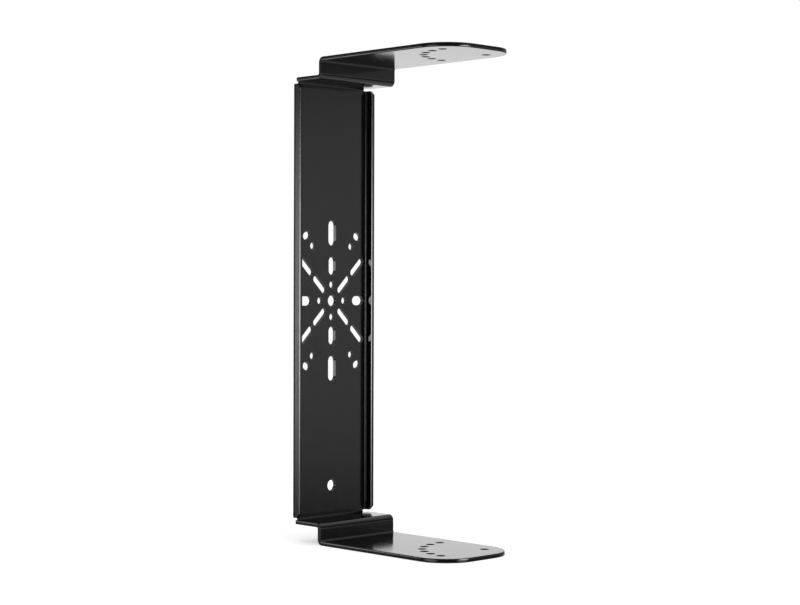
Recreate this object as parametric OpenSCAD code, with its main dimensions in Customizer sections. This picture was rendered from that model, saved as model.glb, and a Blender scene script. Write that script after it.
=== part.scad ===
// Wall bracket for a loudspeaker, folded from one sheet of steel.
// The wall plate lies in the XZ plane with its wall face at y = 0.
// The arms reach forward, along -Y, above and below the loudspeaker.
// The origin is the middle of the centre hole, on the wall face.

/* [Sheet] */
// Thickness of the steel sheet
sheet_t = 4; // [2:0.25:5]
// Inside radius of every fold
fold_r = 1.5; // [1:0.25:3]

/* [Wall plate] */
// Width over the two side flanges
plate_w = 100; // [90:1:140]
// Depth of the side flanges, measured from the wall
flange_d = 12; // [11:0.5:30]
// Corner cut off at both ends of each flange
flange_chamfer = 4; // [1:0.5:4]
// Gap between a flange's end and the start of the shelf fold
flange_gap = 0.5; // [0.25:0.25:4]
// How far the corner notches reach in beyond the flange folds
notch_in = 2; // [0.5:0.25:4]

/* [Shelves and arms] */
// Clear height between the two arms
bay_h = 460; // [400:1:600]
// Step from the inside of a shelf to the inside of its arm
riser_h = 17; // [14:0.5:40]
// Distance from the wall to the front of the risers
riser_d = 42; // [36:1:80]
// Distance from the wall to the front of the arms
arm_d = 210; // [180:1:300]
// How much narrower than the plate the arms are, on each side
arm_inset = 1; // [0:0.5:4]
// Radius of the arms' two front corners
arm_corner_r = 33; // [10:1:42]

/* [Arm holes] */
// Diameter of the pivot hole and of the locking holes
arm_hole_d = 8.5; // [5:0.25:10]
// Distance of the pivot hole from the arm's side, and of the last locking hole from the other side
pivot_side = 20; // [16:0.5:22]
// Distance of the pivot hole from the front of the arm
pivot_front = 26; // [20:0.5:40]
// Number of locking holes on their quarter circle
lock_count = 7; // [3:1:7]

/* [Shelf holes] */
// Diameter of the small hole in each shelf
shelf_hole_d = 5; // [3:0.25:8]
// Distance of that hole from the wall
shelf_hole_from_wall = 16; // [12:0.5:24]

/* [Middle row of the plate] */
// Diameter of the centre hole and of the low hole
main_hole_d = 11; // [8:0.25:12]
// Distance of the low hole from the underside of the plate's bottom shelf
low_hole_up = 34; // [20:0.5:80]
// Diameter of the four small holes around the centre
cross_hole_d = 7; // [4:0.25:8]
// Distance of those four holes from the centre
cross_hole_r = 16; // [14:0.25:18]
// Length of the short upright slots
short_slot_l = 18; // [12:0.5:20]
// Width of the short upright slots
short_slot_w = 9; // [6:0.25:11]
// Distance of the short upright slots from the centre
short_slot_z = 34.5; // [32:0.5:38]
// Length of the long upright slots
long_slot_l = 25; // [16:0.5:28]
// Width of the long upright slots
long_slot_w = 10; // [6:0.25:12]
// Distance of the long upright slots from the centre
long_slot_z = 67; // [64:0.5:90]

/* [Side slots] */
// Length of the two level slots beside the centre
side_slot_l = 15; // [11:0.5:17]
// Width of the two level slots
side_slot_w = 9; // [6:0.25:11]
// Distance of a level slot's middle from the plate's side
side_slot_side = 15.5; // [15:0.5:18]

/* [Diagonal slots] */
// Width of the eight diagonal slots
diag_slot_w = 7; // [4:0.25:8]
// Sideways distance of the inner slots' first round end from the centre
diag_start = 10.75; // [10:0.25:12]
// Sideways distance of the outer slots' last round end from the plate's side
diag_side = 11.25; // [10.5:0.25:14]
// Metal left between an inner and an outer slot
diag_web = 2.75; // [1.5:0.25:5]

/* [Screw holes near the corners] */
// Diameter of the four round screw holes
screw_hole_d = 7; // [4:0.25:8]
// Distance of the round screw holes from the plate's side
screw_hole_side = 24.5; // [23:0.5:28]
// Height of the round screw holes above and below the centre
screw_hole_z = 54; // [52:0.5:56]
// Length of the four tilted slots
tilt_slot_l = 10; // [8:0.25:11]
// Width of the four tilted slots
tilt_slot_w = 7.5; // [5:0.25:8]
// Distance of the tilted slots from the plate's side
tilt_slot_side = 16.5; // [15:0.5:18]
// Height of the tilted slots above and below the centre
tilt_slot_z = 64; // [62:0.5:70]

/* [Hidden] */
$fn = 96;

// Depth that a through cut reaches past each face of the sheet
cut_over = 1;
// Outside radius of a fold
fold_out = fold_r + sheet_t;
// Quarter circle swept by the locking holes, from straight back to straight sideways
lock_sweep = 90;

arm_w = plate_w - 2 * arm_inset;
arm_z = bay_h / 2;
shelf_z = arm_z - riser_h;
shelf_out_z = shelf_z + sheet_t;
// Height at which the flat of the plate ends and the shelf fold starts
plate_end_z = shelf_z - fold_r;
flange_end_z = plate_end_z - flange_gap;
plate_flat_w = plate_w - 2 * fold_out;
// Width of the fold between plate and shelf, between its two corner notches
notched_w = plate_flat_w - 2 * notch_in;

pivot_x = arm_w / 2 - pivot_side;
pivot_d = arm_d - pivot_front;
// The first locking hole lies straight behind the pivot, the last one straight beside it
lock_r = 2 * pivot_x;
lock_step = lock_sweep / (lock_count - 1);

low_hole_z = low_hole_up - shelf_out_z;
side_slot_x = plate_w / 2 - side_slot_side;
diag_end = plate_w / 2 - diag_side;
// Sideways distance between the round ends on both sides of the metal left in a diagonal
diag_step = (diag_slot_w + diag_web) * cos(45);
diag_inner_end = (diag_start + diag_end - diag_step) / 2;
diag_outer_start = diag_inner_end + diag_step;
screw_hole_x = plate_w / 2 - screw_hole_side;
tilt_slot_x = plate_w / 2 - tilt_slot_side;
// The tilted slots follow a circle around the centre
tilt_angle = atan2(tilt_slot_x, tilt_slot_z);

// Round-ended slot along X, centred
module slot(length, width) {
    square([length - width, width], center = true);
    for (side = [-1, 1])
        translate([side * (length - width) / 2, 0])
            circle(d = width);
}

// Round-ended slot at 45 degrees whose round ends are centred at [from, from] and [to, to]
module diagonal_slot(from, to, width) {
    translate([(from + to) / 2, (from + to) / 2])
        rotate(45)
            slot((to - from) / cos(45) + width, width);
}

// Quarter tube around the X axis: one fold of the sheet, starting at the given angle from +Y
module fold(width, start) {
    rotate([90, 0, 90])
        rotate(start)
            translate([0, 0, -width / 2])
                rotate_extrude(angle = 90)
                    translate([fold_r, 0])
                        square([sheet_t, width]);
}

// Slots and screw holes of the plate's upper right quarter
module quarter_holes() {
    diagonal_slot(diag_start, diag_inner_end, diag_slot_w);
    diagonal_slot(diag_outer_start, diag_end, diag_slot_w);
    translate([screw_hole_x, screw_hole_z])
        circle(d = screw_hole_d);
    translate([tilt_slot_x, tilt_slot_z])
        rotate(-tilt_angle)
            slot(tilt_slot_l, tilt_slot_w);
}

// All holes of the wall plate, drawn with X to the side and Y upwards
module plate_holes() {
    circle(d = main_hole_d);
    translate([0, low_hole_z])
        circle(d = main_hole_d);
    for (turn = [0 : 90 : 270])
        rotate(turn)
            translate([cross_hole_r, 0])
                circle(d = cross_hole_d);
    for (side = [-1, 1]) {
        translate([0, side * short_slot_z])
            rotate(90)
                slot(short_slot_l, short_slot_w);
        translate([0, side * long_slot_z])
            rotate(90)
                slot(long_slot_l, long_slot_w);
        translate([side * side_slot_x, 0])
            slot(side_slot_l, side_slot_w);
    }
    for (flip_x = [0, 1], flip_z = [0, 1])
        mirror([flip_x, 0])
            mirror([0, flip_z])
                quarter_holes();
}

// Flat of the wall plate, between the side folds and between the shelf folds
module wall_plate() {
    rotate([90, 0, 0])
        linear_extrude(sheet_t)
            difference() {
                square([plate_flat_w, 2 * flange_end_z], center = true);
                plate_holes();
            }
    // The plate goes on between the corner notches up to the shelf folds
    for (side = [-1, 1])
        translate([0, -sheet_t / 2, side * (flange_end_z + flange_gap / 2)])
            cube([notched_w, sheet_t, flange_gap], center = true);
}

// Right-hand side fold and flange, with its two front corners cut off
module side_flange() {
    translate([plate_flat_w / 2, -fold_out, -flange_end_z])
        rotate_extrude(angle = 90)
            translate([fold_r, 0])
                square([sheet_t, 2 * flange_end_z]);
    translate([plate_w / 2 - sheet_t, 0, 0])
        rotate([90, 0, 90])
            linear_extrude(sheet_t)
                polygon([
                    [-fold_out, -flange_end_z],
                    [-fold_out, flange_end_z],
                    [flange_chamfer - flange_d, flange_end_z],
                    [-flange_d, flange_end_z - flange_chamfer],
                    [-flange_d, flange_chamfer - flange_end_z],
                    [flange_chamfer - flange_d, -flange_end_z]
                ]);
}

// Flat of one arm, drawn with X to the side and Y towards the wall, at its true distance
module arm_outline() {
    back = -riser_d - fold_r;
    translate([-arm_w / 2, arm_corner_r - arm_d])
        square([arm_w, back + arm_d - arm_corner_r]);
    translate([arm_corner_r - arm_w / 2, -arm_d])
        square([arm_w - 2 * arm_corner_r, arm_corner_r]);
    for (side = [-1, 1])
        translate([side * (arm_w / 2 - arm_corner_r), arm_corner_r - arm_d])
            circle(r = arm_corner_r);
}

// Pivot hole and the quarter circle of locking holes around it
module arm_holes() {
    translate([pivot_x, -pivot_d]) {
        circle(d = arm_hole_d);
        for (i = [0 : lock_count - 1])
            rotate(90 + i * lock_step)
                translate([lock_r, 0])
                    circle(d = arm_hole_d);
    }
}

// Upper shelf, riser and arm with the three folds that join them to the plate
module upper_arm() {
    translate([0, -fold_out, plate_end_z])
        fold(notched_w, 0);
    difference() {
        translate([-arm_w / 2, fold_out - riser_d, shelf_z])
            cube([arm_w, riser_d - 2 * fold_out, sheet_t]);
        translate([0, -shelf_hole_from_wall, shelf_z - cut_over])
            cylinder(d = shelf_hole_d, h = sheet_t + 2 * cut_over);
    }
    translate([0, fold_out - riser_d, shelf_z + fold_out])
        fold(arm_w, 180);
    translate([-arm_w / 2, -riser_d, shelf_z + fold_out])
        cube([arm_w, sheet_t, riser_h - fold_out - fold_r]);
    translate([0, -riser_d - fold_r, arm_z - fold_r])
        fold(arm_w, 0);
    translate([0, 0, arm_z])
        linear_extrude(sheet_t)
            difference() {
                arm_outline();
                arm_holes();
            }
}

module bracket() {
    color([0.05, 0.05, 0.055])
        union() {
            wall_plate();
            for (flip = [0, 1]) {
                mirror([flip, 0, 0])
                    side_flange();
                mirror([0, 0, flip])
                    upper_arm();
            }
        }
}

bracket();
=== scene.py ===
"""Wall bracket for a loudspeaker: one folded steel sheet in black powder coat."""

import logging
from collections.abc import Sequence
from dataclasses import dataclass, field
from enum import Enum

import bpy
import numpy as np
from mathutils import Matrix, Vector
from mathutils.geometry import delaunay_2d_cdt


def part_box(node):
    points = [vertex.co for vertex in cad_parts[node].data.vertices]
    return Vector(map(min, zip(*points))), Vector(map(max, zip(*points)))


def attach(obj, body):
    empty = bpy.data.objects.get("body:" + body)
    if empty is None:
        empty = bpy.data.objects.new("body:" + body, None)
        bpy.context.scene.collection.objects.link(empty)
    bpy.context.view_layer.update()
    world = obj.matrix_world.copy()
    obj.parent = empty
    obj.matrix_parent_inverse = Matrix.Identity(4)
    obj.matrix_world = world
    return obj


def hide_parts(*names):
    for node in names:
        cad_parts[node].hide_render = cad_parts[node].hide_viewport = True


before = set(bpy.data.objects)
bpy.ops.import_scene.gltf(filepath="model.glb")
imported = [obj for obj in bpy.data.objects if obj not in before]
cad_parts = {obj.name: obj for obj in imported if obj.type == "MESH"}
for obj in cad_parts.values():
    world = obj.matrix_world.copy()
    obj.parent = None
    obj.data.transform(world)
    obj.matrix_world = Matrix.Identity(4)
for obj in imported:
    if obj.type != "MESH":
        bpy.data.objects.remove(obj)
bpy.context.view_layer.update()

log = logging.getLogger("bracket")

# Millimetres to metres: sizes are held in millimetres, meshes are written in metres
MM = 0.001
QUARTER_TURN = np.pi / 2
# How much narrower than the plate the arms are on each side, in millimetres
ARM_INSET = 1.0
# Points closer together than this, in millimetres or as a share of a stretch, count as one
SAME_POINT = 1e-6
# How far off a fold line a point may lie and still count as on it, in millimetres
ON_LINE = 1e-5
# The triangulation's number for giving only the triangles inside the given edges
INSIDE_EDGES = 1
WHITE = (1.0, 1.0, 1.0, 1.0)


class SheetSide(Enum):
    """The two faces of the sheet, by the place that the face has in a rim's profile."""

    WALL = 0
    ROOM = -1


@dataclass(frozen=True)
class Rounding:
    """Rounding of a cut face's two edges under the coat: a quarter of an ellipse at each face.

    Attributes:
        inset: How far it reaches in from the cut outline.
        rise: How far it reaches down from each face.
        steps: Number of strips that make up one edge.
    """

    inset: float
    rise: float
    steps: int = 7

    def profile(self, thickness: float) -> tuple[np.ndarray, np.ndarray, np.ndarray]:
        """Works out the section of a cut face, from the wall face to the room face.

        An angle runs from minus to plus a quarter turn. The inset is its full value times one
        minus the angle's cosine, and the depth leaves its face by the rise times one minus the
        angle's sine, taken positive. The tangent of the normal's tilt is the tangent of the
        angle, times the inset over the rise.

        Args:
            thickness: Thickness of the sheet.

        Returns:
            Inset from the cut outline, depth from the wall face, and tilt of the normal.
        """
        angle = np.linspace(-QUARTER_TURN, 0, self.steps + 1)
        angle = np.concatenate([angle, -angle[::-1]])
        inset = self.inset * (1 - np.cos(angle))
        rise = self.rise * (1 - np.abs(np.sin(angle)))
        depth = np.where(np.arange(angle.size) <= self.steps, rise, thickness - rise)
        tilt = np.arctan2(self.inset * np.sin(angle), self.rise * np.cos(angle))
        return inset, depth, tilt


@dataclass(frozen=True)
class Sheet:
    """The steel sheet that the bracket is cut and folded from.

    Attributes:
        thickness: Thickness of the steel with its coat.
        fold_radius: Inside radius of every fold.
        edge: Rounding of the outer cut face.
        hole_edge: Rounding of the cut faces inside holes and slots.
        corner_radius: Radius of the small corners of the cut outline.
        corner_steps: Number of stretches in each rounded corner of the cut outline.
        fold_steps: Number of flat strips that make up one fold.
    """

    thickness: float = 4.0
    fold_radius: float = 1.5
    edge: Rounding = Rounding(0.4, 1.4)
    hole_edge: Rounding = Rounding(0.05, 0.15)
    corner_radius: float = 0.8
    corner_steps: int = 12
    fold_steps: int = 14

    @property
    def fold_out(self) -> float:
        """Outside radius of a fold."""
        return self.fold_radius + self.thickness

    @property
    def fold_length(self) -> float:
        """Length of a quarter-turn fold along the middle of the sheet."""
        return (self.fold_radius + self.thickness / 2) * QUARTER_TURN


@dataclass
class Section:
    """Middle line of the folded sheet, seen square to its folds: flats and folds in a row.

    Attributes:
        start: First point of the line.
        heading: Direction of the line at its first point, as an angle.
        lengths: Length of each flat or fold.
        turns: Angle that each one turns by, which is 0 for a flat.
        begins: Distance along the line at which each one begins.
        angles: Heading with which each one begins.
        curvature: Angle that each one turns by in a millimetre.
        corners: Point at which each one begins.
    """

    start: tuple[float, float]
    heading: float
    lengths: Sequence[float]
    turns: Sequence[float]
    begins: np.ndarray = field(init=False)
    angles: np.ndarray = field(init=False)
    curvature: np.ndarray = field(init=False)
    corners: np.ndarray = field(init=False)

    def __post_init__(self) -> None:
        """Works out where each flat or fold begins, and its curvature."""
        lengths, turns = np.array(self.lengths), np.array(self.turns)
        self.begins = np.concatenate([[0.0], np.cumsum(lengths)[:-1]])
        self.angles = self.heading + np.concatenate([[0.0], np.cumsum(turns)[:-1]])
        self.curvature = turns / lengths
        steps = self._chord(self.angles, self.curvature, lengths)
        offsets = np.concatenate([np.zeros((1, 2)), np.cumsum(steps, 0)[:-1]])
        self.corners = np.array(self.start) + offsets

    @staticmethod
    def _chord(angle: np.ndarray, curvature: np.ndarray, length: np.ndarray) -> np.ndarray:
        """Gives the straight step that an arc makes.

        The chord is the arc's length times the sine of half its turn over that half turn, and it
        points along the first heading plus half the turn. On a flat that is the length itself.

        Args:
            angle: Heading at the arc's start.
            curvature: Angle that the arc turns by in a millimetre.
            length: Length of the arc.

        Returns:
            The step, with a last axis of two.
        """
        half_turn = curvature * length / 2
        chord = length * np.sinc(half_turn / np.pi)
        return np.stack([chord * np.cos(angle + half_turn), chord * np.sin(angle + half_turn)], -1)

    @property
    def length(self) -> float:
        """Whole length of the line."""
        return float(np.sum(self.lengths))

    def at(self, distance: np.ndarray) -> tuple[np.ndarray, np.ndarray]:
        """Gives the line's points and headings at distances along it.

        Args:
            distance: Distances from the first point.

        Returns:
            Points, with a last axis of two, and heading angles.
        """
        run = np.searchsorted(self.begins, distance, side="right") - 1
        run = np.clip(run, 0, len(self.begins) - 1)
        along = distance - self.begins[run]
        step = self._chord(self.angles[run], self.curvature[run], along)
        return self.corners[run] + step, self.angles[run] + self.curvature[run] * along

    def fold_lines(self, steps: int) -> np.ndarray:
        """Gives the distances at which the strips of every fold begin and end.

        Args:
            steps: Number of strips in one fold.

        Returns:
            Distances from the first point, fold after fold.
        """
        folds = np.flatnonzero(self.turns)
        share = np.linspace(0, 1, steps + 1)
        return (self.begins[folds, None] + np.array(self.lengths)[folds, None] * share).ravel()


@dataclass
class Outline:
    """Closed cut line in the flat blank, with the metal on its left.

    Attributes:
        points: Points of the line.
        outward: Vector out of the metal at each point, one long apart from the points of a split.
        edge: Rounding of the cut face along the line.
    """

    points: np.ndarray
    outward: np.ndarray
    edge: Rounding

    def inset(self) -> np.ndarray:
        """Gives the line moved into the metal to where the flat face starts."""
        return self.points - self.edge.inset * self.outward

    def split(self, axis: int, lines: np.ndarray, inside: float) -> None:
        """Adds a point wherever the inset line crosses one of the given straight lines.

        A crossing divides its stretch in the ratio of the two ends' distances from the line, and
        the point and its outward vector are shared out in that ratio.

        Args:
            axis: 0 for lines of constant u, 1 for lines of constant v.
            lines: Value of u or v on each line. Both signs of it are used.
            inside: Only points whose distance from the u axis is under this are split by u lines,
                and only points beyond it by v lines.
        """
        edge = self.inset()
        ahead = np.roll(edge, -1, 0)
        level = np.concatenate([-lines, lines])
        span = (ahead - edge)[:, axis, None]
        with np.errstate(divide="ignore", invalid="ignore"):
            share = (level - edge[:, axis, None]) / span
        near = np.abs(edge[:, 1, None]) < inside
        between = (share > SAME_POINT) & (share < 1 - SAME_POINT)
        found = between & (near if axis == 0 else ~near)
        row, column = np.nonzero(found)
        part = share[row, column][:, None]
        after = (row + 1) % len(edge)
        place = np.concatenate([np.arange(len(edge)), row + part[:, 0]])
        order = np.argsort(place, kind="stable")
        added = self.points[row] * (1 - part) + self.points[after] * part
        turned = self.outward[row] * (1 - part) + self.outward[after] * part
        self.points = np.concatenate([self.points, added])[order]
        self.outward = np.concatenate([self.outward, turned])[order]


def rounded_outline(corners: np.ndarray, radii: np.ndarray, steps: int, edge: Rounding) -> Outline:
    """Rounds the corners of a polygon.

    At each corner the direction turns by an angle. The arc starts the radius times the tangent
    of half that angle before the corner, and its outward vector turns evenly by the angle.

    Args:
        corners: Corners of the polygon, with the metal on its left.
        radii: Radius at each corner.
        steps: Number of stretches in each arc.
        edge: Rounding of the cut face.

    Returns:
        The rounded outline.
    """
    arriving = corners - np.roll(corners, 1, 0)
    arriving /= np.linalg.norm(arriving, axis=1, keepdims=True)
    leaving = np.roll(arriving, -1, 0)
    cross = arriving[:, 0] * leaving[:, 1] - arriving[:, 1] * leaving[:, 0]
    turn = np.arctan2(cross, np.sum(arriving * leaving, 1))
    bend = np.sign(turn)
    first = corners - (radii * np.tan(np.abs(turn) / 2))[:, None] * arriving
    out = np.stack([arriving[:, 1], -arriving[:, 0]], -1)
    centre = first - (bend * radii)[:, None] * out
    angle = np.arctan2(out[:, 1], out[:, 0])[:, None] + turn[:, None] * np.linspace(0, 1, steps + 1)
    outward = np.stack([np.cos(angle), np.sin(angle)], -1)
    points = centre[:, None] + (bend * radii)[:, None, None] * outward
    return Outline(points.reshape(-1, 2), outward.reshape(-1, 2), edge)


def neighbours(lines: Sequence[Outline]) -> tuple[np.ndarray, np.ndarray]:
    """Gives the next point around its own line for each point of the joined lines.

    Args:
        lines: Closed lines.

    Returns:
        Index of each point, and index of the point after it.
    """
    count = np.array([len(line.points) for line in lines])
    first = np.repeat(np.cumsum(count) - count, count)
    here = np.arange(count.sum())
    return here, first + (here - first + 1) % np.repeat(count, count)


def in_metal(spots: np.ndarray, start: np.ndarray, end: np.ndarray) -> np.ndarray:
    """Tells which spots of the blank are metal, and not a hole or the space around.

    A level line from a spot crosses the cut lines an odd number of times where the spot is
    metal. It crosses a stretch that has one end above the spot and one end below, at the u that
    the stretch has at the spot's v, which is shared out between its ends.

    Args:
        spots: Spots in the blank.
        start: First point of each stretch of the cut lines.
        end: Last point of each stretch.

    Returns:
        True for each spot that is metal.
    """
    spot_u, spot_v = spots[:, 0, None], spots[:, 1, None]
    astride = (start[:, 1] > spot_v) != (end[:, 1] > spot_v)
    rise = np.where(end[:, 1] == start[:, 1], 1.0, end[:, 1] - start[:, 1])
    reach = start[:, 0] + (spot_v - start[:, 1]) * (end[:, 0] - start[:, 0]) / rise
    return np.sum(astride & (spot_u < reach), 1) % 2 == 1


@dataclass(frozen=True)
class Cutout:
    """Round hole or round-ended slot in the flat blank.

    Attributes:
        u: Place of its middle across the blank.
        v: Place of its middle along the blank.
        width: Diameter of the hole, or width of the slot.
        length: Length over the slot's round ends, or None for a hole.
        angle: Direction of the slot's length, in degrees from the u axis.
    """

    u: float
    v: float
    width: float
    length: float | None = None
    angle: float = 0.0

    def mirrored(self, side: int, up: int) -> "Cutout":
        """Gives its image in the v axis where side is -1, and in the u axis where up is -1."""
        return Cutout(side * self.u, up * self.v, self.width, self.length, side * up * self.angle)

    def outline(self, edge: Rounding, steps: int = 22) -> Outline:
        """Draws the cutout clockwise, so that the metal lies on its left.

        A round end is a half circle of the slot's width around a centre half the straight length
        from the middle. A hole is the same with no straight length.

        Args:
            edge: Rounding of the cut face.
            steps: Number of stretches in each half circle.

        Returns:
            The cutout's outline.
        """
        straight = 0.0 if self.length is None else self.length - self.width
        share = np.linspace(0, 1, steps + 1)[: steps if self.length is None else steps + 1]
        half = QUARTER_TURN - np.pi * share
        angle = np.concatenate([half, half - np.pi])
        centre = np.repeat([straight / 2, -straight / 2], half.size)
        tip = np.stack([np.cos(angle), np.sin(angle)], -1)
        turn = np.radians(self.angle)
        spin = np.array([[np.cos(turn), np.sin(turn)], [-np.sin(turn), np.cos(turn)]])
        points = (np.stack([centre, np.zeros_like(centre)], -1) + tip * self.width / 2) @ spin
        return Outline(points + np.array([self.u, self.v]), -(tip @ spin), edge)


@dataclass(frozen=True)
class WallPlate:
    """The drilled plate on the wall, with its two side flanges.

    Attributes:
        width: Width over the two flanges.
        flange_depth: Depth of the flanges, measured from the wall.
        flange_chamfer: Corner cut off at both ends of each flange.
        flange_gap: Gap between a flange's end and the start of the shelf fold.
        notch_in: How far the corner notches reach in beyond the flange folds.
        main_hole: Diameter of the centre hole and of the low hole.
        low_hole: Height of the low hole.
        cross_hole: Diameter of the four holes around the centre.
        cross_radius: Distance of those four holes from the centre.
        short_slot: Length, width and height of the short upright slots.
        long_slot: Length, width and height of the long upright slots.
        side_slot: Length, width and distance from the centre of the level slots.
        diagonal_width: Width of the diagonal slots.
        diagonal_start: Sideways distance of the inner slots' first round end from the centre.
        diagonal_end: Sideways distance of the outer slots' last round end from the centre.
        diagonal_web: Metal left between an inner and an outer slot.
        screw_hole: Diameter, sideways distance and height of the four round screw holes.
        tilted_slot: Length, width, sideways distance and height of the four tilted slots.
    """

    width: float
    flange_depth: float = 12.0
    flange_chamfer: float = 4.0
    flange_gap: float = 0.5
    notch_in: float = 2.0
    main_hole: float = 11.0
    low_hole: float = -183.0
    cross_hole: float = 7.0
    cross_radius: float = 16.0
    short_slot: tuple[float, float, float] = (18.0, 9.0, 34.5)
    long_slot: tuple[float, float, float] = (25.0, 10.0, 67.0)
    side_slot: tuple[float, float, float] = (15.0, 9.0, 34.5)
    diagonal_width: float = 7.0
    diagonal_start: float = 10.75
    diagonal_end: float = 38.75
    diagonal_web: float = 2.75
    screw_hole: tuple[float, float, float] = (7.0, 25.5, 54.0)
    tilted_slot: tuple[float, float, float, float] = (10.0, 7.5, 33.5, 64.0)

    def section(self, sheet: Sheet) -> Section:
        """Gives the middle line from the plate's middle out to a flange's front edge.

        Args:
            sheet: The steel sheet.

        Returns:
            The section across the plate.
        """
        flat = self.width / 2 - sheet.fold_out
        lengths = [flat, sheet.fold_length, self.flange_depth - sheet.fold_out]
        return Section((0.0, sheet.thickness / 2), 0.0, lengths, [0.0, QUARTER_TURN, 0.0])

    def diagonal(self, first: float, last: float) -> Cutout:
        """Gives a slot at 45 degrees in the upper right quarter.

        Its length is the root of two times the sideways distance between its round ends' centres,
        plus its width.

        Args:
            first: Sideways distance of the first round end's centre from the plate's middle.
            last: The same distance of the last round end's centre.

        Returns:
            The slot.
        """
        middle = (first + last) / 2
        length = (last - first) * np.sqrt(2) + self.diagonal_width
        return Cutout(middle, middle, self.diagonal_width, length, 45.0)

    def quarter(self) -> list[Cutout]:
        """Works out the cutouts of the upper right quarter.

        The inner and the outer diagonal slot are alike. From the last centre of one to the first
        centre of the other, it is a slot's width and the web.

        Returns:
            The cutouts that are repeated in the other three quarters.
        """
        step = (self.diagonal_width + self.diagonal_web) / np.sqrt(2)
        inner_end = (self.diagonal_start + self.diagonal_end - step) / 2
        screw_d, screw_u, screw_v = self.screw_hole
        length, width, tilt_u, tilt_v = self.tilted_slot
        tilt = float(np.degrees(np.arctan2(tilt_u, tilt_v)))
        return [
            self.diagonal(self.diagonal_start, inner_end),
            self.diagonal(inner_end + step, self.diagonal_end),
            Cutout(screw_u, screw_v, screw_d),
            Cutout(tilt_u, tilt_v, width, length, -tilt),
        ]

    def cutouts(self) -> list[Cutout]:
        """Works out every hole and slot of the plate.

        Returns:
            The cutouts of the middle rows, and then those of the four quarters.
        """
        made = [Cutout(0.0, 0.0, self.main_hole), Cutout(0.0, self.low_hole, self.main_hole)]
        short_l, short_w, short_v = self.short_slot
        long_l, long_w, long_v = self.long_slot
        side_l, side_w, side_u = self.side_slot
        for sign in (1, -1):
            made += [
                Cutout(sign * self.cross_radius, 0.0, self.cross_hole),
                Cutout(0.0, sign * self.cross_radius, self.cross_hole),
                Cutout(0.0, sign * short_v, short_w, short_l, 90.0),
                Cutout(0.0, sign * long_v, long_w, long_l, 90.0),
                Cutout(sign * side_u, 0.0, side_w, side_l),
            ]
        images = [(side, up) for side in (1, -1) for up in (1, -1)]
        return made + [cutout.mirrored(*image) for cutout in self.quarter() for image in images]


@dataclass(frozen=True)
class SteppedArm:
    """The shelf, riser and arm above the loudspeaker, which is mirrored below it.

    Attributes:
        width: Width of the shelf, riser and arm.
        depth: Distance from the wall to the arm's front.
        inner_height: Height of the arm's inner face above the middle of the plate.
        riser_height: Step from the inside of the shelf to the inside of the arm.
        riser_depth: Distance from the wall to the front of the riser.
        front_radius: Radius of the arm's two front corners.
        shelf_hole: Diameter of the shelf's hole, and its distance from the wall.
        hole: Diameter of the pivot hole and of the locking holes.
        pivot_side: Distance of the pivot hole from the arm's side.
        pivot_front: Distance of the pivot hole from the arm's front.
        lock_count: Number of locking holes on their quarter circle.
    """

    width: float
    depth: float
    inner_height: float
    riser_height: float = 17.0
    riser_depth: float = 42.0
    front_radius: float = 33.0
    shelf_hole: tuple[float, float] = (5.0, 16.0)
    hole: float = 8.5
    pivot_side: float = 20.0
    pivot_front: float = 26.0
    lock_count: int = 7

    def plate_end(self, sheet: Sheet) -> float:
        """Height at which the flat of the plate ends and the fold to the shelf starts."""
        return self.inner_height - self.riser_height - sheet.fold_radius

    def section(self, sheet: Sheet) -> Section:
        """Gives the middle line from the plate's middle up to the arm's front.

        It goes up the plate, forward along the shelf, up the riser and forward along the arm, with
        a fold between each two.

        Args:
            sheet: The steel sheet.

        Returns:
            The section along the blank.
        """
        fold = sheet.fold_length
        lengths = [
            self.plate_end(sheet), fold,
            self.riser_depth - 2 * sheet.fold_out, fold,
            self.riser_height - sheet.fold_out - sheet.fold_radius, fold,
            self.depth - self.riser_depth - sheet.fold_radius,
        ]
        turns = [0.0, -QUARTER_TURN, 0.0, QUARTER_TURN, 0.0, -QUARTER_TURN, 0.0]
        return Section((sheet.thickness / 2, 0.0), QUARTER_TURN, lengths, turns)

    def cutouts(self, sheet: Sheet) -> list[Cutout]:
        """Gives the upper arm's holes: shelf hole, pivot hole and locking holes.

        The locking holes lie on a quarter circle around the pivot, evenly turned from straight
        back to straight sideways, with a radius that puts the last one as far from its side.

        Args:
            sheet: The steel sheet.

        Returns:
            The cutouts.
        """
        section = self.section(sheet)
        # Places in the blank at which the arm and the shelf would start at the wall
        front = section.length - self.depth
        _, _, shelf_begins, *_ = section.begins
        shelf_start = shelf_begins - sheet.fold_out
        shelf_d, shelf_away = self.shelf_hole
        pivot_u = self.width / 2 - self.pivot_side
        pivot_away = self.depth - self.pivot_front
        radius = 2 * pivot_u
        turn = np.linspace(QUARTER_TURN, 2 * QUARTER_TURN, self.lock_count)
        across = pivot_u + radius * np.cos(turn)
        away = pivot_away - radius * np.sin(turn)
        made = [
            Cutout(0.0, shelf_start + shelf_away, shelf_d),
            Cutout(pivot_u, front + pivot_away, self.hole),
        ]
        return made + [Cutout(float(u), float(front + a), self.hole) for u, a in zip(across, away)]


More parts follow.
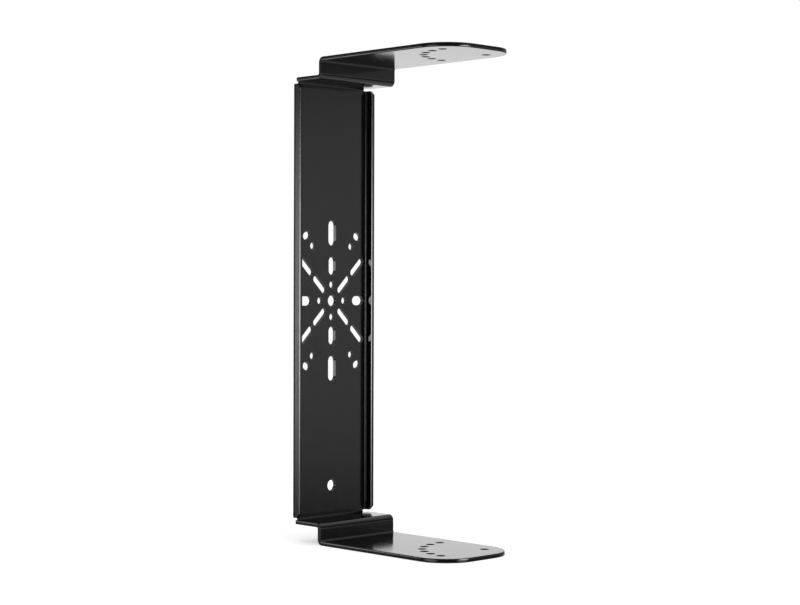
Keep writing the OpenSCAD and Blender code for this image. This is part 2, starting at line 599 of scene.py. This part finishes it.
@dataclass(frozen=True)
class PowderCoat:
    """Satin black powder coat: a smooth dark skin with a fine orange peel.

    Attributes:
        colour: Linear colour of the pigment.
        speck_colour: Linear colour of the faintly paler clouds in it.
        clouds: Scale and detail of those clouds. A scale is the number of features in a metre.
        roughness: Lowest and highest roughness over the surface.
        patches: Scale and detail of the patches of different roughness.
        patch_range: Values of that pattern with the lowest and the highest roughness.
        peel: Scale, detail and depth of the orange peel. A depth is in metres.
        grain: Scale, detail and depth of the fine grain.
        index: Refractive index of the resin.
    """

    colour: tuple[float, float, float] = (0.0018, 0.0018, 0.0020)
    speck_colour: tuple[float, float, float] = (0.0032, 0.0032, 0.0035)
    clouds: tuple[float, float] = (38.0, 3.0)
    roughness: tuple[float, float] = (0.11, 0.15)
    patches: tuple[float, float] = (120.0, 4.0)
    patch_range: tuple[float, float] = (0.3, 0.7)
    peel: tuple[float, float, float] = (420.0, 1.5, 0.000003)
    grain: tuple[float, float, float] = (2600.0, 1.0, 0.0000012)
    index: float = 1.5

    def material(self) -> bpy.types.Material:
        """Builds the coat's material on Object coordinates.

        Returns:
            The finished material.
        """
        made = bpy.data.materials.new("black_powder_coat")
        made.use_nodes = True
        nodes, links = made.node_tree.nodes, made.node_tree.links
        shader = nodes["Principled BSDF"]
        shader.inputs["IOR"].default_value = self.index
        place = nodes.new("ShaderNodeTexCoord").outputs["Object"]

        def noise(scale: float, detail: float) -> bpy.types.NodeSocket:
            """Adds a noise pattern.

            Args:
                scale: Number of its features in a metre.
                detail: Number of finer layers on them.

            Returns:
                Socket of the pattern's value.
            """
            node = nodes.new("ShaderNodeTexNoise")
            node.inputs["Scale"].default_value = scale
            node.inputs["Detail"].default_value = detail
            links.new(place, node.inputs["Vector"])
            return node.outputs["Fac"]

        tint = nodes.new("ShaderNodeMix")
        tint.data_type = "RGBA"
        tint.inputs["A"].default_value = (*self.colour, 1.0)
        tint.inputs["B"].default_value = (*self.speck_colour, 1.0)
        links.new(noise(*self.clouds), tint.inputs["Factor"])
        links.new(tint.outputs["Result"], shader.inputs["Base Color"])

        gloss = nodes.new("ShaderNodeMapRange")
        ends = ("From Min", "From Max", "To Min", "To Max")
        for end, value in zip(ends, self.patch_range + self.roughness):
            gloss.inputs[end].default_value = value
        links.new(noise(*self.patches), gloss.inputs["Value"])
        links.new(gloss.outputs["Result"], shader.inputs["Roughness"])

        normal = None
        for scale, detail, depth in (self.peel, self.grain):
            bump = nodes.new("ShaderNodeBump")
            bump.inputs["Distance"].default_value = depth
            links.new(noise(scale, detail), bump.inputs["Height"])
            if normal is not None:
                links.new(normal, bump.inputs["Normal"])
            normal = bump.outputs["Normal"]
        links.new(normal, shader.inputs["Normal"])
        return made


@dataclass
class Bracket:
    """The whole bracket: a flat blank with its cutouts, folded up from the plate's middle.

    In the blank, u runs across and v runs along, both measured on the middle of the sheet from
    the plate's centre. The upper and lower halves are alike, and so are left and right.

    Attributes:
        sheet: The steel sheet.
        plate: The wall plate with its flanges.
        arm: The upper shelf, riser and arm.
        coat: The finish.
        across: Section that the plate's part of the blank is folded along.
        along: Section that the parts above and below the plate are folded along.
        plate_end: Height at which the flat of the plate ends.
    """

    sheet: Sheet
    plate: WallPlate
    arm: SteppedArm
    coat: PowderCoat = field(default_factory=PowderCoat)
    across: Section = field(init=False)
    along: Section = field(init=False)
    plate_end: float = field(init=False)

    def __post_init__(self) -> None:
        """Works out the two sections that the blank is folded along."""
        self.across = self.plate.section(self.sheet)
        self.along = self.arm.section(self.sheet)
        self.plate_end = self.arm.plate_end(self.sheet)

    @property
    def gap_middle(self) -> float:
        """Height of the middle of the gap between a flange's end and the shelf fold."""
        return self.plate_end - self.plate.flange_gap / 2

    def outer_outline(self) -> Outline:
        """Draws the blank's outer cut line from the corners of its upper right quarter.

        The other quarters are its mirror images, taken in the order that keeps the metal on the
        left: every second one backwards.

        Returns:
            The outer cut line.
        """
        plate, corner = self.plate, self.sheet.corner_radius
        edge_u = self.across.length
        end_v = self.plate_end - plate.flange_gap
        notch_u = plate.width / 2 - self.sheet.fold_out - plate.notch_in
        shelf_v = self.plate_end + self.sheet.fold_length
        side_u = self.arm.width / 2
        quarter = np.array([
            (edge_u, end_v - plate.flange_chamfer, corner),
            (edge_u - plate.flange_chamfer, end_v, corner),
            (notch_u, end_v, corner),
            (notch_u, shelf_v, corner),
            (side_u, shelf_v, corner),
            (side_u, self.along.length, self.arm.front_radius),
        ])
        back = quarter[::-1]
        images = [quarter, back * (-1, 1, 1), quarter * (-1, -1, 1), back * (1, -1, 1)]
        corners, radii = np.split(np.concatenate(images), [2], axis=1)
        return rounded_outline(corners, radii[:, 0], self.sheet.corner_steps, self.sheet.edge)

    def outlines(self) -> list[Outline]:
        """Draws all cut lines of the blank.

        Returns:
            The outer cut line, split at the fold lines, and those of all cutouts.
        """
        outer = self.outer_outline()
        for axis, section in enumerate((self.across, self.along)):
            outer.split(axis, section.fold_lines(self.sheet.fold_steps), self.gap_middle)
        arm = self.arm.cutouts(self.sheet)
        cutouts = self.plate.cutouts() + arm + [c.mirrored(1, -1) for c in arm]
        return [outer] + [c.outline(self.sheet.hole_edge) for c in cutouts]

    def fold_up(self, blank: np.ndarray, depth: np.ndarray) -> tuple[np.ndarray, np.ndarray]:
        """Folds points of the blank into their places on the bracket.

        On the plate a point follows the section across it, and its height is v. Past the plate's
        ends it keeps u and follows the section along it. It then moves off the middle of the
        sheet, along the sheet's normal, by its depth less half the thickness.

        Args:
            blank: Points in the blank, with a last axis of u and v.
            depth: Distance of each point from the wall face of the sheet.

        Returns:
            Points in millimetres, and for each one the directions of u, v and the normal.
        """
        u, v = blank[..., 0], blank[..., 1]
        side, up = np.where(u < 0, -1.0, 1.0), np.where(v < 0, -1.0, 1.0)
        on_plate = np.abs(v) < self.plate_end
        spot_across, turn_across = self.across.at(np.abs(u))
        spot_along, turn_along = self.along.at(np.abs(v))
        nothing, one = np.zeros_like(u), np.ones_like(u)
        plate_rows = np.stack([
            np.stack([side * spot_across[..., 0], -spot_across[..., 1], v], -1),
            np.stack([np.cos(turn_across), -side * np.sin(turn_across), nothing], -1),
            np.stack([nothing, nothing, one], -1),
            np.stack([-side * np.sin(turn_across), -np.cos(turn_across), nothing], -1),
        ], -2)
        arm_rows = np.stack([
            np.stack([u, -spot_along[..., 0], up * spot_along[..., 1]], -1),
            np.stack([one, nothing, nothing], -1),
            np.stack([nothing, -up * np.cos(turn_along), np.sin(turn_along)], -1),
            np.stack([nothing, -np.sin(turn_along), -up * np.cos(turn_along)], -1),
        ], -2)
        rows = np.where(on_plate[..., None, None], plate_rows, arm_rows)
        off_middle = (depth - self.sheet.thickness / 2)[..., None]
        return rows[..., 0, :] + off_middle * rows[..., 3, :], rows[..., 1:, :]

    def rim(self, line: Outline) -> tuple[np.ndarray, np.ndarray]:
        """Carries the rounded edge profile along a cut line.

        The normal is the outward direction times the cosine of the profile's tilt, plus the
        sheet's normal times its sine.

        Args:
            line: Cut line in the blank.

        Returns:
            Points and normals, on a grid of the line's points by the profile's points.
        """
        inset, depth, tilt = line.edge.profile(self.sheet.thickness)
        blank = line.points[:, None] - inset[None, :, None] * line.outward[:, None]
        points, ways = self.fold_up(blank, np.broadcast_to(depth, blank.shape[:2]))
        out = line.outward / np.linalg.norm(line.outward, axis=1, keepdims=True)
        flat = out[:, None, 0, None] * ways[..., 0, :] + out[:, None, 1, None] * ways[..., 1, :]
        normals = np.cos(tilt)[:, None] * flat + np.sin(tilt)[:, None] * ways[..., 2, :]
        return points, normals

    def fold_edges(self, outer: np.ndarray) -> np.ndarray:
        """Finds the edges that run along every fold line, from rim to rim.

        The points of the outer line that lie on a fold line are sorted along it, and the lowest
        is joined to the highest.

        Args:
            outer: Points of the inset outer line.

        Returns:
            Pairs of indices into these points.
        """
        on_plate = np.abs(outer[:, 1]) < self.gap_middle
        edges = []
        for axis, section in enumerate((self.across, self.along)):
            level = section.fold_lines(self.sheet.fold_steps)
            level = np.concatenate([-level, level])
            allowed = on_plate if axis == 0 else ~on_plate
            on_line = (np.abs(outer[:, axis] - level[:, None]) < ON_LINE) & allowed
            row, index = np.nonzero(on_line)
            order = np.lexsort([outer[index, 1 - axis], row])
            row, index = row[order], index[order]
            lowest = np.flatnonzero(np.diff(row, prepend=-1))
            highest = np.concatenate([lowest[1:], [len(row)]]) - 1
            edges.append(np.stack([index[lowest], index[highest]], -1))
        return np.concatenate(edges)

    def face_triangles(self, lines: Sequence[Outline]) -> np.ndarray:
        """Fills the blank between the inset cut lines with triangles.

        Their sides lie on every fold line, so that each strip of a fold stays flat.

        Args:
            lines: The outer cut line and those of the cutouts.

        Returns:
            Triangles, as indices into the joined points of the inset lines, counterclockwise.
        """
        points = np.concatenate([line.inset() for line in lines])
        here, ahead = neighbours(lines)
        outer = points[: len(lines[0].points)]
        edges = np.concatenate([np.stack([here, ahead], -1), self.fold_edges(outer)])
        flat, _, faces, *_ = delaunay_2d_cdt(
            points.tolist(), edges.tolist(), [], INSIDE_EDGES, SAME_POINT, False
        )
        if len(flat) != len(points):
            raise ValueError(f"{len(flat)} points for the triangles, {len(points)} in the blank")
        triangles = np.array(faces)
        return triangles[in_metal(points[triangles].mean(1), points[here], points[ahead])]

    def build(self) -> bpy.types.Object:
        """Builds the folded sheet as one closed mesh with worked-out normals.

        Every rim is a grid of quads along its cut line. The two faces of the sheet share the
        rims' first and last points, and the wall face's triangles are turned over.

        Returns:
            The bracket's object.
        """
        lines = self.outlines()
        rims = [self.rim(line) for line in lines]
        width = rims[0][0].shape[1]
        points = np.concatenate([p.reshape(-1, 3) for p, _ in rims])
        normals = np.concatenate([n.reshape(-1, 3) for _, n in rims])
        here, ahead = neighbours(lines)
        strip = np.arange(width - 1)
        low, high = here[:, None] * width + strip, ahead[:, None] * width + strip
        quads = np.stack([low, high, high + 1, low + 1], -1).reshape(-1, 4)
        triangles = self.face_triangles(lines)
        room = triangles * width + (width + SheetSide.ROOM.value)
        wall = triangles[:, ::-1] * width + SheetSide.WALL.value
        mesh = bpy.data.meshes.new("bracket_sheet")
        faces = quads.tolist() + room.tolist() + wall.tolist()
        mesh.from_pydata((points * MM).tolist(), [], faces)
        mesh.polygons.foreach_set("use_smooth", np.ones(len(mesh.polygons), bool))
        mesh.normals_split_custom_set_from_vertices(normals.tolist())
        mesh.update()
        piece = bpy.data.objects.new("bracket_sheet", mesh)
        bpy.context.scene.collection.objects.link(piece)
        return piece

    def dress(self, piece: bpy.types.Object) -> None:
        """Coats the sheet, and sets it on the frame in place of its plain solid.

        Args:
            piece: The bracket's object.
        """
        piece.data.materials.append(self.coat.material())
        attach(piece, "root")
        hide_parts("bracket")


@dataclass(frozen=True)
class Glow:
    """Soft bright region of the studio around the bracket, as seen from it.

    Attributes:
        name: What the region is.
        toward: Direction of its middle.
        strength: Brightness that it adds at its middle.
        core: Angle from its middle within which it is full, in degrees.
        reach: Angle at which it has faded out, in degrees.
        flatness: How many times narrower it is upwards than sideways.
    """

    name: str
    toward: tuple[float, float, float]
    strength: float
    core: float
    reach: float
    flatness: float = 1.0

    def brightness(
        self, tree: bpy.types.NodeTree, direction: bpy.types.NodeSocket
    ) -> bpy.types.NodeSocket:
        """Adds the nodes that work out the region's brightness.

        It is the strength times a smooth step of the cosine between the direction looked in,
        flattened upwards, and the region's middle.

        Args:
            tree: Node tree of the studio.
            direction: Socket of the direction looked in.

        Returns:
            Socket of the brightness.
        """
        nodes, links = tree.nodes, tree.links
        flat = nodes.new("ShaderNodeVectorMath")
        flat.operation = "MULTIPLY"
        flat.inputs[1].default_value = (1.0, 1.0, self.flatness)
        links.new(direction, flat.inputs[0])
        unit = nodes.new("ShaderNodeVectorMath")
        unit.operation = "NORMALIZE"
        links.new(flat.outputs["Vector"], unit.inputs[0])
        cosine = nodes.new("ShaderNodeVectorMath")
        cosine.operation = "DOT_PRODUCT"
        cosine.inputs[1].default_value = Vector(self.toward).normalized()
        links.new(unit.outputs["Vector"], cosine.inputs[0])
        fade = nodes.new("ShaderNodeMapRange")
        fade.label = self.name
        fade.interpolation_type = "SMOOTHSTEP"
        fade.inputs["From Min"].default_value = float(np.cos(np.radians(self.reach)))
        fade.inputs["From Max"].default_value = float(np.cos(np.radians(self.core)))
        fade.inputs["To Max"].default_value = self.strength
        links.new(cosine.outputs["Value"], fade.inputs["Value"])
        return fade.outputs["Result"]


@dataclass(frozen=True)
class Studio:
    """Plain white studio: a pale floor under the bracket and soft light from all round it.

    The floor only shows the bracket's soft shadow. It is left out of reflections and lets light
    through, so that the glossy sheet mirrors the bright regions alone, from below too.

    Attributes:
        floor_z: Height of the floor, in metres.
        floor_radius: Radius of the floor, in metres.
        floor_points: Number of points in the floor's ring.
        floor_colour: Linear colour of the floor.
        floor_roughness: Roughness of the floor.
        floor_glow: Light that the floor gives by itself, as a lit table does. It softens the
            shadow.
        dim: Brightness of the studio between its bright regions.
        glows: The bright regions.
    """

    floor_z: float
    floor_radius: float = 3.0
    floor_points: int = 96
    floor_colour: tuple[float, float, float] = (0.86, 0.86, 0.86)
    floor_roughness: float = 0.9
    floor_glow: float = 0.52
    dim: float = 0.05
    glows: tuple[Glow, ...] = (
        Glow("backdrop", (0.70, 0.71, 0.0), 1.22, 10.0, 24.0),
        Glow("strip light behind on the left", (-0.688, 0.725, -0.004), 5.4, 0.7, 3.6, 0.42),
        Glow("window in front", (0.26, -0.97, -0.03), 18.0, 5.0, 23.0, 3.8),
        Glow("wall under the window", (0.22, -0.97, -0.09), 3.0, 14.0, 27.0, 2.8),
        Glow("wall in front on the right", (0.71, -0.70, 0.005), 0.59, 10.0, 20.0, 2.3),
        Glow("wall on the right", (1.0, 0.0, 0.0), 0.28, 10.0, 40.0),
        Glow("softbox on the left", (-0.99, 0.08, -0.131), 2.5, 6.0, 32.0, 3.0),
        Glow("ceiling", (0.0, 0.0, 1.0), 1.0, 25.0, 75.0),
        Glow("sweep of white paper below", (0.0, 0.0, -1.0), 0.65, 50.0, 78.0),
    )

    def floor(self) -> bpy.types.Object:
        """Builds the floor as a disc whose ring of points lies at equal angles around the origin.

        Returns:
            The floor's object.
        """
        angle = np.linspace(0, 2 * np.pi, self.floor_points, endpoint=False)
        ring = np.stack([np.cos(angle), np.sin(angle)], -1) * self.floor_radius
        points = np.column_stack([ring, np.full(len(ring), self.floor_z)])
        mesh = bpy.data.meshes.new("studio_floor")
        mesh.from_pydata(points.tolist(), [], [list(range(len(ring)))])
        material = bpy.data.materials.new("pale_floor")
        material.use_nodes = True
        shader = material.node_tree.nodes["Principled BSDF"]
        shader.inputs["Base Color"].default_value = (*self.floor_colour, 1.0)
        shader.inputs["Roughness"].default_value = self.floor_roughness
        shader.inputs["Specular IOR Level"].default_value = 0.0
        shader.inputs["Emission Color"].default_value = WHITE
        shader.inputs["Emission Strength"].default_value = self.floor_glow
        mesh.materials.append(material)
        floor = bpy.data.objects.new("studio_floor", mesh)
        bpy.context.scene.collection.objects.link(floor)
        floor.visible_glossy = False
        floor.visible_shadow = False
        return floor

    def light(self) -> None:
        """Lights the studio from all round.

        The studio is as bright as the sum of its bright regions and the dim light between them.
        That is what shines on the bracket and what it mirrors. The camera sees plain white.
        """
        world = bpy.data.worlds.new("studio")
        bpy.context.scene.world = world
        world.use_nodes = True
        nodes, links = world.node_tree.nodes, world.node_tree.links
        nodes.clear()
        direction = nodes.new("ShaderNodeTexCoord").outputs["Generated"]
        total = None
        for glow in self.glows:
            add = nodes.new("ShaderNodeMath")
            add.operation = "ADD"
            add.inputs[1].default_value = self.dim
            links.new(glow.brightness(world.node_tree, direction), add.inputs[0])
            if total is not None:
                links.new(total, add.inputs[1])
            total = add.outputs["Value"]
        room = nodes.new("ShaderNodeBackground")
        room.inputs["Color"].default_value = WHITE
        links.new(total, room.inputs["Strength"])
        white = nodes.new("ShaderNodeBackground")
        white.inputs["Color"].default_value = WHITE
        white.inputs["Strength"].default_value = 1.0
        seen = nodes.new("ShaderNodeMixShader")
        links.new(nodes.new("ShaderNodeLightPath").outputs["Is Camera Ray"], seen.inputs["Fac"])
        links.new(room.outputs["Background"], seen.inputs[1])
        links.new(white.outputs["Background"], seen.inputs[2])
        output = nodes.new("ShaderNodeOutputWorld")
        links.new(seen.outputs["Shader"], output.inputs["Surface"])
        bpy.context.scene.view_settings.view_transform = "Standard"


@dataclass(frozen=True)
class PhotoCamera:
    """The camera at the photograph's viewing angle.

    Attributes:
        place: Position, in millimetres.
        right: Direction of the picture's right side.
        up: Direction of the picture's top.
        lens: Focal length, in millimetres.
        sensor: Width of the sensor, in millimetres.
        clip_end: Distance up to which the camera sees, in metres.
    """

    place: tuple[float, float, float] = (-1185.11, -1310.82, 17.40)
    right: tuple[float, float, float] = (0.714608, -0.699519, 0.003069)
    up: tuple[float, float, float] = (0.005298, 0.009799, 0.999938)
    lens: float = 80.03
    sensor: float = 36.0
    clip_end: float = 30.0

    def build(self) -> bpy.types.Object:
        """Builds the camera and makes it the scene's.

        Returns:
            The camera's object.
        """
        data = bpy.data.cameras.new("photo_camera")
        data.lens = self.lens
        data.sensor_width = self.sensor
        data.clip_end = self.clip_end
        camera = bpy.data.objects.new("photo_camera", data)
        right, up = Vector(self.right).normalized(), Vector(self.up).normalized()
        turned = Matrix((right, up, right.cross(up))).transposed().to_4x4()
        camera.matrix_world = Matrix.Translation(Vector(self.place) * MM) @ turned
        bpy.context.scene.collection.objects.link(camera)
        bpy.context.scene.camera = camera
        return camera


def main() -> None:
    """Builds the camera, the bracket and the studio, and reports each piece."""
    logging.basicConfig(level=logging.INFO, format="%(name)s: %(message)s")
    low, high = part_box("bracket")
    width, depth, height = (high - low) / MM
    sheet = Sheet()
    inner_height = height / 2 - sheet.thickness
    PhotoCamera().build()
    arm = SteppedArm(width - 2 * ARM_INSET, depth, inner_height)
    bracket = Bracket(sheet, WallPlate(width), arm)
    piece = bracket.build()
    bracket.dress(piece)
    log.info("%s: %d faces", piece.name, len(piece.data.polygons))
    studio = Studio(floor_z=low.z)
    floor = studio.floor()
    studio.light()
    log.info("%s: radius %.1f m", floor.name, studio.floor_radius)


if __name__ == "__main__":
    main()
